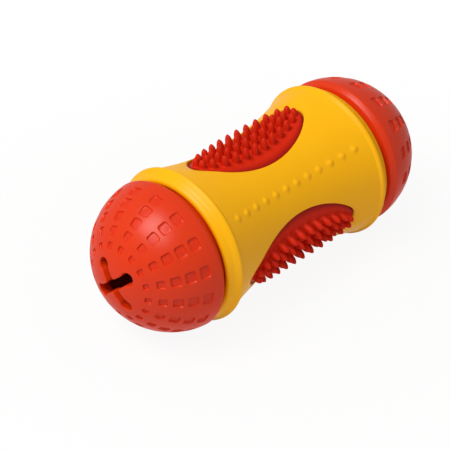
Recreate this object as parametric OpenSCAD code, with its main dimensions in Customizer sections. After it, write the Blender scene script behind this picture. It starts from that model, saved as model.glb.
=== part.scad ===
// Treat dispensing dog toy: a yellow hourglass sleeve with three oval windows, a spiked pad
// behind each window, a treat tube that backs the pads, and a hollow dome plugged into each end.
// The toy's axis lies along X and its middle is the origin. All sizes are in millimetres.

/* [Whole toy] */
// Length from the tip of one dome to the tip of the other
overall_length = 165; // [155:1:180]
// Largest diameter, over the rims that the toy rolls on
rim_d = 68.8; // [67:0.2:73]
// Roll of the toy on the floor: angle of the first pad round the axis, from level
first_pad_angle = 80; // [0:1:119]

/* [Sleeve] */
// Outer diameter at the waist
waist_d = 54.4; // [53:0.2:57]
// Thickness of the wall at the waist
sleeve_wall = 2.3; // [2:0.1:2.6]
// Distance of each rim's crest from the middle of the toy
rim_place = 42.8; // [41.5:0.1:46]
// Radius of the rounded bead along a rim
rim_bead_r = 1.3; // [1:0.1:1.6]
// How far the rim's bead stands proud of the flare
rim_proud = 0.6; // [0.3:0.1:0.9]
// Outer diameter of the lip, the second bead beside the dome
lip_d = 64; // [63:0.2:65.5]
// Radius of the lip's bead
lip_bead_r = 1.7; // [1.4:0.1:1.9]
// Distance from the rim's crest to the middle of the lip's bead
lip_step = 3.4; // [2.8:0.1:3.8]
// Depth of the hollow between the two beads, below a line over both
ring_hollow = 0.3; // [0.1:0.1:0.6]
// Depth of the socket for a dome's spigot, from the sleeve's end face
socket_depth = 5.8; // [4.8:0.1:6.2]
// Thickness of the socket's wall under the lip
socket_wall = 1.1; // [0.8:0.1:1.5]

/* [Windows] */
// Length of a window at the pad's level, along the toy
window_length = 62; // [56:0.5:66]
// Width of a window, straight across
window_width = 30.6; // [26:0.2:32]
// Slope of the scoop at each end of a window, from level
scoop_angle = 35; // [30:1:45]
// Gap between a pad and the edge of its window
window_gap = 0.3; // [0.2:0.05:0.4]

/* [Nub rows] */
// Number of nubs in the row between two windows
nub_count = 12; // [6:1:12]
// Distance between nubs, along the toy
nub_pitch = 6.3; // [5.5:0.1:6.6]
// Diameter of a nub where it meets the sleeve
nub_d = 4.2; // [3:0.1:5]
// Height of a nub above the sleeve
nub_height = 1; // [0.6:0.1:1.3]

/* [Spiked pads] */
// Depth of a pad's face below the sleeve at the waist
pad_recess = 0.8; // [0.4:0.1:1.2]
// Depth of a pad's face below the sleeve at the window's ends
pad_end_recess = 1.3; // [0.9:0.1:1.6]
// Thickness of the flange that holds a pad inside the sleeve
flange_thickness = 1.3; // [1:0.1:1.6]
// How far the flange reaches past the window's edge
flange_reach = 2.5; // [1.5:0.1:3]
// Height of a spike in the middle of the pad, above the pad's face
spike_height = 5.4; // [4.5:0.1:6]
// How much shorter a spike right at the pad's end would be
spike_drop = 2.2; // [1.5:0.1:2.5]
// Diameter of a spike where it meets the pad
spike_d = 3.7; // [3.2:0.1:3.8]
// Distance between spikes in a row, along the toy
spike_pitch = 5.2; // [4.8:0.1:5.4]
// Distance between rows of spikes, across the pad
spike_row_pitch = 5; // [4.6:0.1:5.3]
// Distance from the window's end to the middle of the last spikes
spike_end_margin = 4; // [3.6:0.1:5]
// Distance between the last two spikes, across the pad
spike_end_pair = 3.8; // [3.6:0.1:4.6]

/* [Treat tube] */
// Thickness of the tube's wall
tube_wall = 2; // [1.5:0.1:3]
// Gap round a pad's flange, to the sleeve and to the tube
flange_gap = 0.1; // [0.05:0.05:0.2]
// Gap between the tube and each dome's spigot
tube_end_gap = 0.3; // [0.2:0.05:0.5]

/* [Domes] */
// Diameter of a dome at its shoulder
shoulder_d = 65.8; // [63:0.2:66.4]
// Distance of the shoulder from the middle of the toy
shoulder_place = 52.4; // [51:0.2:55]
// Thickness of a dome's wall
dome_wall = 4.5; // [3.5:0.1:5.5]
// Thickness of the spigot's wall
spigot_wall = 5; // [4:0.1:5.6]
// Gap between the spigot and its socket, on the radius
spigot_gap = 0.05; // [0.03:0.01:0.08]
// Gap between a dome's neck and the sleeve's lip
neck_gap = 0.3; // [0.2:0.05:0.5]
// Gap between the spigot's end and the floor of its socket
seat_gap = 0.1; // [0.05:0.05:0.2]

/* [Dome pits] */
// Number of rows of pits round a dome
pit_rows = 16; // [8:4:20]
// Number of pits in a row
pit_count = 5; // [3:1:5]
// Distance over the dome from its tip to the middle of the first pit
pit_start = 17; // [16.5:0.1:18]
// Distance over the dome between pits in a row
pit_pitch = 6.2; // [5.5:0.1:6.4]
// Angle round the axis that a pit takes up
pit_angle = 9.5; // [7:0.5:12]
// Longest that a pit may be, along its row
pit_length = 4.3; // [3.5:0.1:4.6]
// Depth of a pit
pit_depth = 0.8; // [0.4:0.1:1.2]

/* [Treat mouth] */
// Width of the crossed slits
slit_width = 4.2; // [3.5:0.1:5]
// Diameter of the round end of a slit
slit_end_d = 5.6; // [4.3:0.1:6]
// Distance from the axis to the tip of a slit
slit_reach = 12; // [9:0.1:13]

/* [Hidden] */

$fn = 96;
flare_fn = 256;
spike_fn = 24;
// Overshoot of a cutter past the face that it cuts
over = 1;
// Depth that a spike or a nub is rooted in what carries it
root = 1;
sleeve_color = "#f0b217";
rubber_color = "#d13214";
tube_color = "#f2efe6";

pad_count = 3;
pad_step = 360 / pad_count;
// Points round a window's oval
oval_points = 48;
// How far inside the window's edge a scoop starts
scoop_inset = 0.25;
// Straight stretches in the outline of a spike
spike_steps = 4;
// How fast a spike thins: 1 is half an egg, and higher is more pointed
spike_taper = 1.5;
// Share of the pad's own curve that a spike leans by: 0 stands all spikes the same way
spike_splay = 0.5;
// Share of a pit's diagonal that its rounded corners leave
pit_corner = 0.86;
slit_arms = 4;

half_length = overall_length / 2;
rim_r = rim_d / 2;
waist_r = waist_d / 2;

// The flare is one arc from waist to rim, hollow side outwards
flare_rise = rim_r - rim_proud - waist_r;
flare_r = (rim_place * rim_place + flare_rise * flare_rise) / (2 * flare_rise);

lip_r = lip_d / 2 - lip_bead_r;
lip_place = rim_place + lip_step;
sleeve_end = lip_place + lip_bead_r;
lip_inner_r = lip_r - lip_bead_r;
// Slope of the ring's face between the two beads, from the axis
ring_slope = atan2(rim_r - rim_bead_r - lip_r, lip_step);
socket_r = lip_inner_r - socket_wall;
socket_floor = lip_place - socket_depth;
bore_r = waist_r - sleeve_wall;

pad_face_r = waist_r - pad_recess;
// The pad's face is one arc from its middle to the window's ends, under the flare
pad_end_r = flare_at(window_length / 2) - pad_end_recess;
pad_rise = pad_end_r - pad_face_r;
pad_arc_r = (window_length * window_length / 4 + pad_rise * pad_rise) / (2 * pad_rise);
flange_r = bore_r - flange_gap;
flange_inner_r = flange_r - flange_thickness;
tube_r = flange_inner_r - flange_gap;
tube_half = socket_floor + seat_gap - tube_end_gap;

// A dome is part of a ball through the shoulder and the tip
shoulder_r = shoulder_d / 2;
dome_rise = half_length - shoulder_place;
dome_r = (shoulder_r * shoulder_r + dome_rise * dome_rise) / (2 * dome_rise);
dome_place = half_length - dome_r;
spigot_r = socket_r - spigot_gap;
spigot_end = socket_floor + seat_gap;
spigot_bore_r = spigot_r - spigot_wall;
neck_r = lip_inner_r - neck_gap;
neck_start = lip_place + neck_gap;
band_start = sleeve_end + neck_gap;
hollow_r = dome_r - dome_wall;
// Depth of the cut that opens the mouth: well through the dome's wall
mouth_cut = dome_rise / 2;
hollow_shoulder_r = sqrt(hollow_r * hollow_r - pow(shoulder_place - dome_place, 2));

// Radius of the sleeve's flare at a distance along the toy
function flare_at(place) = waist_r + flare_r - sqrt(flare_r * flare_r - place * place);

// Radius of a pad's face at a distance along the toy
function pad_at(place) = pad_face_r + pad_arc_r - sqrt(pad_arc_r * pad_arc_r - place * place);

// Distance from the middle of the pad to its last pair of spikes
spike_reach = window_length / 2 - spike_end_margin;
// Spikes in half of an outer row, and in half of each row from the inner ones outwards
longest_row = floor(spike_reach / spike_pitch);
row_counts = [longest_row - 1, longest_row];
// Each row lies on an oval, and the outer rows' oval runs through the last pairs
spike_oval_half = spike_reach / sqrt(1 - pow(spike_end_pair / (3 * spike_row_pitch), 2));

// Places of the spikes on a quarter of the pad: distance along the toy, distance across the pad
function quarter_places() = concat(
    [
        for (row = [0 : len(row_counts) - 1], i = [0 : row_counts[row] - 1])
            let (place = (i + 0.5) * spike_pitch)
            [place, (row + 0.5) * spike_row_pitch * sqrt(1 - pow(place / spike_oval_half, 2))]
    ],
    [[spike_reach, spike_end_pair / 2]]
);

// All four quarters, and a lone spike on the middle line between the inner rows and each last pair
function spike_places() =
    let (lone = (spike_reach + (row_counts[0] - 0.5) * spike_pitch) / 2)
    concat(
        [
            for (spot = quarter_places(), along = [-1, 1], across = [-1, 1])
                [along * spot[0], across * spot[1]]
        ],
        [[-lone, 0], [lone, 0]]
    );

// Turns a shape made along Z so that it lies along X
module along_axis() rotate([0, 90, 0]) children();

// Turns a shape made along Z so that it stands on the toy, at an angle round the axis
module stand(angle) rotate([angle - 90, 0, 0]) children();

// The window's oval, grown all round and squeezed along the toy
module oval(grow, squeeze = 1) {
    polygon([
        for (i = [0 : oval_points - 1])
            let (turn = 360 * i / oval_points)
            [squeeze * (window_length / 2 + grow) * cos(turn), (window_width / 2 + grow) * sin(turn)]
    ]);
}

module oval_prism(grow, height) linear_extrude(height) oval(grow);

// The window's oval carried up and outwards from the pad's level, for the scoop at one end
module window_scoop(side) {
    below = window_length / 2;
    above = window_length;
    translate([0, 0, pad_end_r]) {
        intersection() {
            rotate([0, side * (90 - scoop_angle), 0])
                translate([0, 0, -below])
                    linear_extrude(below + above)
                        oval(-scoop_inset, sin(scoop_angle));
            translate([-half_length, -window_width, 0])
                cube([2 * half_length, 2 * window_width, rim_r + over - pad_end_r]);
        }
    }
}

module ring(outer, inner, half) {
    along_axis()
        rotate_extrude()
            translate([inner, -half])
                square([outer - inner, 2 * half]);
}

// A point of the ring's face over the middle of a bead
function ring_point(middle, bead_r) =
    middle + (bead_r - ring_hollow) * [cos(ring_slope), sin(ring_slope)];

module ring_face() {
    polygon([
        [0, rim_place],
        ring_point([rim_r - rim_bead_r, rim_place], rim_bead_r),
        ring_point([lip_r, lip_place], lip_bead_r),
        [lip_r, lip_place],
        [0, lip_place]
    ]);
}

module sleeve_profile() {
    difference() {
        union() {
            difference() {
                translate([0, -rim_place]) square([rim_r, 2 * rim_place]);
                translate([waist_r + flare_r, 0]) circle(flare_r, $fn = flare_fn);
            }
            for (side = [0, 1]) {
                mirror([0, side]) {
                    ring_face();
                    translate([rim_r - rim_bead_r, rim_place]) circle(rim_bead_r);
                    translate([lip_r, lip_place]) circle(lip_bead_r);
                }
            }
        }
        translate([-over, -lip_place]) square([bore_r + over, 2 * lip_place]);
        for (side = [0, 1]) {
            mirror([0, side])
                translate([0, socket_floor])
                    square([socket_r, socket_depth + over]);
        }
    }
}

module nub_row() {
    ball_r = (nub_d * nub_d / 4 + nub_height * nub_height) / (2 * nub_height);
    for (i = [0 : nub_count - 1]) {
        place = (i - (nub_count - 1) / 2) * nub_pitch;
        translate([place, 0, flare_at(place) + nub_height - ball_r]) {
            intersection() {
                sphere(ball_r);
                translate([-nub_d, -nub_d, ball_r - nub_height - root])
                    cube([2 * nub_d, 2 * nub_d, 2 * ball_r]);
            }
        }
    }
}

module barrel_sleeve() {
    color(sleeve_color) {
        difference() {
            along_axis() rotate_extrude() sleeve_profile();
            for (i = [0 : pad_count - 1]) {
                stand(first_pad_angle + i * pad_step) {
                    oval_prism(0, rim_r + over);
                    window_scoop(-1);
                    window_scoop(1);
                }
            }
        }
        for (i = [0 : pad_count - 1])
            stand(first_pad_angle + (i + 0.5) * pad_step) nub_row();
    }
}

module treat_tube() {
    color(tube_color) ring(tube_r, tube_r - tube_wall, tube_half);
}

module spike(height) {
    rotate_extrude($fn = spike_fn)
        polygon(concat(
            [[0, -root], [spike_d / 2, -root]],
            [
                for (i = [0 : spike_steps])
                    let (turn = 90 * i / spike_steps)
                    [spike_d / 2 * pow(cos(turn), spike_taper), height * sin(turn)]
            ]
        ));
}

module pad_profile() {
    difference() {
        translate([flange_inner_r + flange_thickness / 2, -half_length]) square([rim_r, 2 * half_length]);
        translate([pad_face_r + pad_arc_r, 0]) circle(pad_arc_r, $fn = flare_fn);
    }
}

module spiked_pad(index) {
    color(rubber_color) stand(first_pad_angle + (index - 1) * pad_step) {
        intersection() {
            ring(flange_r, flange_inner_r, half_length);
            oval_prism(flange_reach, rim_r);
        }
        intersection() {
            along_axis() rotate_extrude() pad_profile();
            oval_prism(-window_gap, rim_r);
        }
        for (spot = spike_places()) {
            lean = asin(spot[1] / pad_at(spot[0]));
            translate([spot[0], spot[1], pad_at(spot[0]) * cos(lean)])
                rotate([-spike_splay * lean, 0, 0])
                    spike(spike_height - spike_drop * pow(2 * spot[0] / window_length, 2));
        }
    }
}

module dome_profile() {
    difference() {
        union() {
            polygon([
                [0, spigot_end],
                [spigot_r, spigot_end],
                [spigot_r, neck_start],
                [neck_r, neck_start],
                [neck_r, band_start],
                [shoulder_r, shoulder_place],
                [0, shoulder_place]
            ]);
            intersection() {
                translate([0, dome_place]) circle(dome_r, $fn = flare_fn);
                translate([0, shoulder_place]) square([dome_r, 2 * dome_r]);
            }
        }
        polygon([
            [-over, spigot_end - over],
            [spigot_bore_r, spigot_end - over],
            [spigot_bore_r, band_start],
            [hollow_shoulder_r, shoulder_place],
            [-over, shoulder_place]
        ]);
        intersection() {
            translate([0, dome_place]) circle(hollow_r, $fn = flare_fn);
            translate([-over, shoulder_place]) square([dome_r + over, 2 * dome_r]);
        }
    }
}

module pit(from_tip) {
    width = dome_r * sin(from_tip / dome_r * 180 / PI) * pit_angle * PI / 180;
    length = min(width, pit_length);
    linear_extrude(pit_depth + over)
        intersection() {
            square([length, width], center = true);
            circle(norm([length, width]) / 2 * pit_corner);
        }
}

module pit_pattern() {
    for (i = [0 : pit_rows - 1], j = [0 : pit_count - 1]) {
        from_tip = pit_start + j * pit_pitch;
        translate([dome_place, 0, 0])
            rotate([i * 360 / pit_rows, 0, 0])
                rotate([0, 90 - from_tip / dome_r * 180 / PI, 0])
                    translate([0, 0, dome_r - pit_depth])
                        pit(from_tip);
    }
}

module treat_mouth() {
    end_place = slit_reach - slit_end_d / 2;
    translate([half_length - mouth_cut, 0, 0])
        along_axis()
            linear_extrude(mouth_cut + over)
                for (i = [0 : slit_arms - 1])
                    rotate(i * 360 / slit_arms) {
                        translate([0, -slit_width / 2]) square([end_place, slit_width]);
                        translate([end_place, 0]) circle(slit_end_d / 2);
                    }
}

// A dome on the +X end, with a slit and a row of pits in line with the first row of nubs
module dome() {
    difference() {
        along_axis() rotate_extrude() dome_profile();
        stand(first_pad_angle + pad_step / 2) {
            pit_pattern();
            treat_mouth();
        }
    }
}

module front_dome() {
    color(rubber_color) mirror([1, 0, 0]) dome();
}

module rear_dome() {
    color(rubber_color) dome();
}

barrel_sleeve();
treat_tube();
spiked_pad(1);  // spiked_pad_1
spiked_pad(2);  // spiked_pad_2
spiked_pad(3);  // spiked_pad_3
front_dome();
rear_dome();
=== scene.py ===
"""Treat dispensing roller toy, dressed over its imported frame.

The toy's axis lies along X and its middle is the origin. Sizes are in millimetres and angles in
degrees, measured round the axis from +Y towards +Z. Each mesh is scaled to metres when it is done.
"""

import logging
import math
from dataclasses import dataclass
from enum import Enum
from typing import Iterator, Sequence

import bmesh
import bpy
from bmesh.types import BMEdge, BMesh, BMVert
from mathutils import Matrix, Vector


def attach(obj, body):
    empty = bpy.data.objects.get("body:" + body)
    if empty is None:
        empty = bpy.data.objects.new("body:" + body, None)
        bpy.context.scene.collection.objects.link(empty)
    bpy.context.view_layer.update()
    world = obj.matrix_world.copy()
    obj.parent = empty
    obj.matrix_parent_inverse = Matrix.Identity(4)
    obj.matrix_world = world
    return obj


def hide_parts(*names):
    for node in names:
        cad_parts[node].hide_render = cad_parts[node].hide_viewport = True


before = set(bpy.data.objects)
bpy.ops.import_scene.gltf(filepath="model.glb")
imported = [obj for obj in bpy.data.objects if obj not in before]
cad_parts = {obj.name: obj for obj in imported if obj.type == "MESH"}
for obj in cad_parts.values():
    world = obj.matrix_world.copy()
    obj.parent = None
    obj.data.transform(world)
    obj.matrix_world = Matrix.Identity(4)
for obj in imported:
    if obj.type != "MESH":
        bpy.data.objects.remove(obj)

LOG = logging.getLogger("roller_toy")
MM = 0.001
WELD = 0.004
PAD_COUNT = 3
FIRST_PAD_ANGLE = 80.0
PAD_STEP_ANGLE = 360 / PAD_COUNT
# Mesh layer that marks where shade is painted into the colour.
PAINTED_SHADE_LAYER = "painted_shade"

Ring = list[BMVert]
Station = Sequence[Vector]
Profile = list[tuple[float, float]]
Colour = tuple[float, float, float]


class Body(Enum):
    """The frame's bodies that pieces ride on."""

    SLEEVE = "sleeve"
    FRONT_DOME = "front_dome"
    REAR_DOME = "rear_dome"


class Slot(Enum):
    """Names of the record's material slots, passed along with the new pieces."""

    SLEEVE_RUBBER = "sleeve_rubber"
    PAD_RUBBER = "pad_rubber"
    DOME_RUBBER = "dome_rubber"


class End(Enum):
    """The two ends of the toy, as the sign of their X."""

    FRONT = -1
    REAR = 1


def around(place: float, radius: float, angle: float) -> Vector:
    """Return the point at a place along the axis, a radius from it and an angle round it."""
    turn = math.radians(angle)
    return Vector((place, radius * math.cos(turn), radius * math.sin(turn)))


def angle_of(point: Vector) -> float:
    """Return a point's angle round the axis."""
    return math.degrees(math.atan2(point.z, point.y))


def blend(start: float, end: float, share: float) -> float:
    """Return the value at a share of the way from start to end."""
    return start + (end - start) * share


def ease(low: float, high: float, value: float) -> float:
    """Return 0 below low, 1 above high and a smooth rise between them."""
    share = min(1.0, max(0.0, (value - low) / (high - low)))
    return share * share * (3 - 2 * share)


def hourglass(waist_r: float, end_r: float, end: float, place: float) -> float:
    """Return the radius at a place of an hourglass whose side is one arc.

    Args:
        waist_r: Radius at the middle.
        end_r: Radius at the end.
        end: Place of the end.
        place: The place along the axis.

    Returns:
        The radius.
    """
    rise = end_r - waist_r
    sweep = (end**2 + rise**2) / (2 * rise)
    return waist_r + sweep - math.sqrt(sweep**2 - place**2)


def linear(red: int, green: int, blue: int) -> Colour:
    """Return the linear colour of an 8-bit display colour."""
    parts = (red / 255, green / 255, blue / 255)
    return tuple(c / 12.92 if c <= 0.04045 else ((c + 0.055) / 1.055) ** 2.4 for c in parts)


def arc(centre: tuple[float, float], radius: float, start: float, end: float, steps: int) -> Profile:
    """Return points along an arc of a profile.

    Args:
        centre: Place and radius of the arc's middle.
        radius: Radius of the arc.
        start: First angle, from the direction of +X towards outwards.
        end: Last angle.
        steps: Number of stretches.

    Returns:
        The points as place and radius.
    """
    turns = [math.radians(blend(start, end, k / steps)) for k in range(steps + 1)]
    return [(centre[0] + radius * math.cos(t), centre[1] + radius * math.sin(t)) for t in turns]


def rounded(path: Sequence[tuple[float, float, float]], steps: int = 4) -> Profile:
    """Round the corners of a profile.

    Args:
        path: Corners as place, radius, and the length that the rounding takes off each side.
        steps: Number of stretches in a rounded corner.

    Returns:
        The points as place and radius.
    """
    points = [path[0][:2]]
    for before, at, after in zip(path, path[1:], path[2:]):
        corner = Vector(at[:2])
        start = corner + (Vector(before[:2]) - corner).normalized() * at[2]
        end = corner + (Vector(after[:2]) - corner).normalized() * at[2]
        for k in range(steps + 1):
            share = k / steps
            points.append(tuple(start.lerp(corner, share).lerp(corner.lerp(end, share), share)))
    points.append(path[-1][:2])
    return points


def start_ring(shell: BMesh, station: Station) -> Ring:
    """Lay a closed ring of edges through a station's points.

    Args:
        shell: The mesh that gets the ring.
        station: The ring's points in order.

    Returns:
        The ring's vertices in order.
    """
    ring = list(bmesh.ops.create_circle(shell, segments=len(station))["verts"])
    place_ring(ring, station)
    return ring


def place_ring(ring: Ring, station: Station) -> None:
    """Move each vertex of a ring to its point of a station."""
    for vert, point in zip(ring, station):
        vert.co = point


def ring_edges(shell: BMesh, ring: Ring) -> list[BMEdge]:
    """Return the edges of a closed ring of vertices."""
    return [shell.edges.get((a, b)) for a, b in zip(ring, ring[1:] + ring[:1])]


def carry_ring(shell: BMesh, ring: Ring, station: Station) -> Ring:
    """Extrude a closed ring of edges to the next station.

    Args:
        shell: The mesh that holds the ring.
        ring: The ring's vertices in order.
        station: The places of the new vertices, in the same order.

    Returns:
        The new ring's vertices in order.
    """
    made = bmesh.ops.extrude_edge_only(shell, edges=ring_edges(shell, ring))["geom"]
    fresh = {item for item in made if isinstance(item, BMVert)}
    carried = [
        next(e.other_vert(vert) for e in vert.link_edges if e.other_vert(vert) in fresh)
        for vert in ring
    ]
    place_ring(carried, station)
    return carried


def weld(shell: BMesh) -> None:
    """Merge the vertices that meet, and point all faces outwards."""
    bmesh.ops.remove_doubles(shell, verts=shell.verts, dist=WELD)
    bmesh.ops.recalc_face_normals(shell, faces=shell.faces)


def put_in_order(shell: BMesh) -> None:
    """Order a mesh's elements by where they are, so that each run gives the same mesh.

    Args:
        shell: The finished mesh.
    """
    for items, spot in (
        (shell.verts, lambda vert: vert.co[:]),
        (shell.edges, lambda edge: (edge.verts[0].co + edge.verts[1].co)[:]),
        (shell.faces, lambda face: face.calc_center_median()[:]),
    ):
        rank = {item: k for k, item in enumerate(sorted(items, key=spot))}
        items.sort(key=rank.get)


def finish_piece(name: str, shell: BMesh, body: Body, node: str, slot: Slot,
                 material: bpy.types.Material, crease: float) -> bpy.types.Object:
    """Turn a finished shell into a piece of the toy.

    Args:
        name: The piece's name.
        shell: The mesh in millimetres, which is freed.
        body: The body that the piece rides on.
        node: The frame's node that the piece stands for.
        slot: The record's material slot; not used.
        material: The piece's material.
        crease: Angle between faces past which an edge stays sharp.

    Returns:
        The new object.
    """
    bmesh.ops.scale(shell, vec=(MM, MM, MM), verts=shell.verts)
    put_in_order(shell)
    mesh = bpy.data.meshes.new(name)
    shell.to_mesh(mesh)
    shell.free()
    mesh.shade_smooth()
    mesh.set_sharp_from_angle(angle=math.radians(crease))
    mesh.materials.append(material)
    piece = bpy.data.objects.new(name, mesh)
    bpy.context.scene.collection.objects.link(piece)
    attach(piece, body.value)
    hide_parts(node)
    LOG.info("%s: %d faces, in place of %s", name, len(mesh.polygons), node)
    return piece


class MouldedGrain:
    """Node group for a moulded surface: fine grain, soft mottling and an uneven gloss."""

    NAME = "moulded_grain"
    GRAIN_DETAIL = 2.0
    MOTTLE_DETAIL = 3.0
    MOTTLE_SPAN = (0.3, 0.7)

    @classmethod
    def group(cls) -> bpy.types.NodeTree:
        """Return the node group, built the first time that it is asked for."""
        return bpy.data.node_groups.get(cls.NAME) or cls._build()

    @classmethod
    def _build(cls) -> bpy.types.NodeTree:
        """Build the node group.

        Returns:
            The node group.
        """
        tree = bpy.data.node_groups.new(cls.NAME, "ShaderNodeTree")
        face = tree.interface
        for name, kind in (
            ("Colour", "NodeSocketColor"),
            ("Deep Colour", "NodeSocketColor"),
            ("Grain Scale", "NodeSocketFloat"),
            ("Mottle Scale", "NodeSocketFloat"),
            ("Mottle", "NodeSocketFloat"),
            ("Gloss Low", "NodeSocketFloat"),
            ("Gloss High", "NodeSocketFloat"),
        ):
            face.new_socket(name, in_out="INPUT", socket_type=kind)
        face.new_socket("Colour", in_out="OUTPUT", socket_type="NodeSocketColor")
        face.new_socket("Roughness", in_out="OUTPUT", socket_type="NodeSocketFloat")
        face.new_socket("Height", in_out="OUTPUT", socket_type="NodeSocketFloat")

        nodes, links = tree.nodes, tree.links
        given = nodes.new("NodeGroupInput")
        put = nodes.new("NodeGroupOutput")
        spot = nodes.new("ShaderNodeTexCoord")
        grain = nodes.new("ShaderNodeTexNoise")
        grain.inputs["Detail"].default_value = cls.GRAIN_DETAIL
        mottle = nodes.new("ShaderNodeTexNoise")
        mottle.inputs["Detail"].default_value = cls.MOTTLE_DETAIL
        amount = nodes.new("ShaderNodeMath")
        amount.operation = "MULTIPLY"
        tone = nodes.new("ShaderNodeMix")
        tone.data_type = "RGBA"
        gloss = nodes.new("ShaderNodeMapRange")
        gloss.inputs["From Min"].default_value = cls.MOTTLE_SPAN[0]
        gloss.inputs["From Max"].default_value = cls.MOTTLE_SPAN[1]

        links.new(spot.outputs["Object"], grain.inputs["Vector"])
        links.new(spot.outputs["Object"], mottle.inputs["Vector"])
        links.new(given.outputs["Grain Scale"], grain.inputs["Scale"])
        links.new(given.outputs["Mottle Scale"], mottle.inputs["Scale"])
        links.new(mottle.outputs["Fac"], amount.inputs[0])
        links.new(given.outputs["Mottle"], amount.inputs[1])
        links.new(amount.outputs["Value"], tone.inputs["Factor"])
        links.new(given.outputs["Colour"], tone.inputs["A"])
        links.new(given.outputs["Deep Colour"], tone.inputs["B"])
        links.new(mottle.outputs["Fac"], gloss.inputs["Value"])
        links.new(given.outputs["Gloss Low"], gloss.inputs["To Min"])
        links.new(given.outputs["Gloss High"], gloss.inputs["To Max"])
        links.new(tone.outputs["Result"], put.inputs["Colour"])
        links.new(gloss.outputs["Result"], put.inputs["Roughness"])
        links.new(grain.outputs["Fac"], put.inputs["Height"])
        return tree


@dataclass(frozen=True)
class MouldedFinish:
    """A moulded rubber or plastic finish.

    Attributes:
        name: The material's name.
        colour: Main colour.
        deep: Darker, fuller colour of the mottling.
        gloss: Lowest and highest roughness.
        grain: Size of the grain in millimetres.
        relief: Height of the grain in millimetres.
        bump: Strength of the grain's bump.
        mottle: Share of the deep colour in the mottling.
        mottle_scale: Scale of the mottling, in patches to a metre.
        painted_shade: Colour of the painted shade and its share where the mesh marks it, if it does.
        shine: Strength of the reflections.
        skin: Weight of the thin glossy skin over the moulding.
        skin_ior: Index of refraction of the skin, high so that it shines alike from all sides.
    """

    name: str
    colour: Colour
    deep: Colour
    gloss: tuple[float, float]
    grain: float = 0.45
    relief: float = 0.01
    bump: float = 0.6
    mottle: float = 0.35
    mottle_scale: float = 60.0
    painted_shade: tuple[Colour, float] | None = None
    shine: float = 0.02
    skin: float = 0.0
    skin_ior: float = 2.2

    def material(self) -> bpy.types.Material:
        """Return the finish's material, built the first time that it is asked for."""
        return bpy.data.materials.get(self.name) or self._build()

    def _build(self) -> bpy.types.Material:
        """Build the material.

        Returns:
            The material.
        """
        made = bpy.data.materials.new(self.name)
        made.use_nodes = True
        made.diffuse_color = (*self.colour, 1.0)
        nodes, links = made.node_tree.nodes, made.node_tree.links
        shader = nodes["Principled BSDF"]
        shader.inputs["Specular IOR Level"].default_value = self.shine
        shader.inputs["Coat Weight"].default_value = self.skin
        shader.inputs["Coat Roughness"].default_value = self.gloss[0]
        shader.inputs["Coat IOR"].default_value = self.skin_ior
        surface = nodes.new("ShaderNodeGroup")
        surface.node_tree = MouldedGrain.group()
        surface.inputs["Colour"].default_value = (*self.colour, 1.0)
        surface.inputs["Deep Colour"].default_value = (*self.deep, 1.0)
        surface.inputs["Grain Scale"].default_value = 1 / (self.grain * MM)
        surface.inputs["Mottle Scale"].default_value = self.mottle_scale
        surface.inputs["Mottle"].default_value = self.mottle
        surface.inputs["Gloss Low"].default_value = self.gloss[0]
        surface.inputs["Gloss High"].default_value = self.gloss[1]
        bump = nodes.new("ShaderNodeBump")
        bump.inputs["Strength"].default_value = self.bump
        bump.inputs["Distance"].default_value = self.relief * MM
        tone = surface.outputs["Colour"]
        # Painted shade: the colour darkens towards the given shade where the mesh's layer marks it.
        if self.painted_shade:
            tone = self._paint_recess_shade(made.node_tree, tone, *self.painted_shade)
        links.new(tone, shader.inputs["Base Color"])
        links.new(surface.outputs["Roughness"], shader.inputs["Roughness"])
        links.new(surface.outputs["Height"], bump.inputs["Height"])
        links.new(bump.outputs["Normal"], shader.inputs["Normal"])
        return made

    @staticmethod
    def _paint_recess_shade(tree: bpy.types.NodeTree, tone: bpy.types.NodeSocket, shade: Colour,
                        full: float) -> bpy.types.NodeSocket:
        """Paint shade into the colour where the mesh marks it.

        Args:
            tree: The material's nodes.
            tone: The colour before.
            shade: The colour of the painted shade.
            full: Share of it where the mark is full.

        Returns:
            The colour after.
        """
        mark = tree.nodes.new("ShaderNodeAttribute")
        mark.attribute_name = PAINTED_SHADE_LAYER
        share = tree.nodes.new("ShaderNodeMath")
        share.operation = "MULTIPLY"
        share.inputs[1].default_value = full
        mix = tree.nodes.new("ShaderNodeMix")
        mix.data_type = "RGBA"
        mix.inputs["B"].default_value = (*shade, 1.0)
        tree.links.new(mark.outputs["Fac"], share.inputs[0])
        tree.links.new(share.outputs["Value"], mix.inputs["Factor"])
        tree.links.new(tone, mix.inputs["A"])
        return mix.outputs["Result"]


SLEEVE_FINISH = MouldedFinish("sleeve_yellow_rubber", linear(252, 189, 9), linear(244, 167, 5),
                              gloss=(0.34, 0.42), skin=0.1)
# The pad's recess colour is painted shadow, darkest along the face's edge where the window's wall
# shades it.
PAD_FINISH = MouldedFinish("pad_red_rubber", linear(212, 40, 12), linear(184, 24, 8),
                           gloss=(0.44, 0.52), painted_shade=(linear(136, 6, 2), 0.8), skin=0.06)
# The dome's recess colour is painted shade in the pits.
DOME_FINISH = MouldedFinish("dome_red_rubber", linear(222, 56, 10), linear(194, 33, 6),
                            gloss=(0.32, 0.4), painted_shade=(linear(204, 22, 2), 0.2), skin=0.13)
TUBE_FINISH = MouldedFinish("tube_cream_plastic", linear(238, 234, 222), linear(224, 218, 202),
                            gloss=(0.3, 0.38), relief=0.004, shine=0.4)


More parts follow.
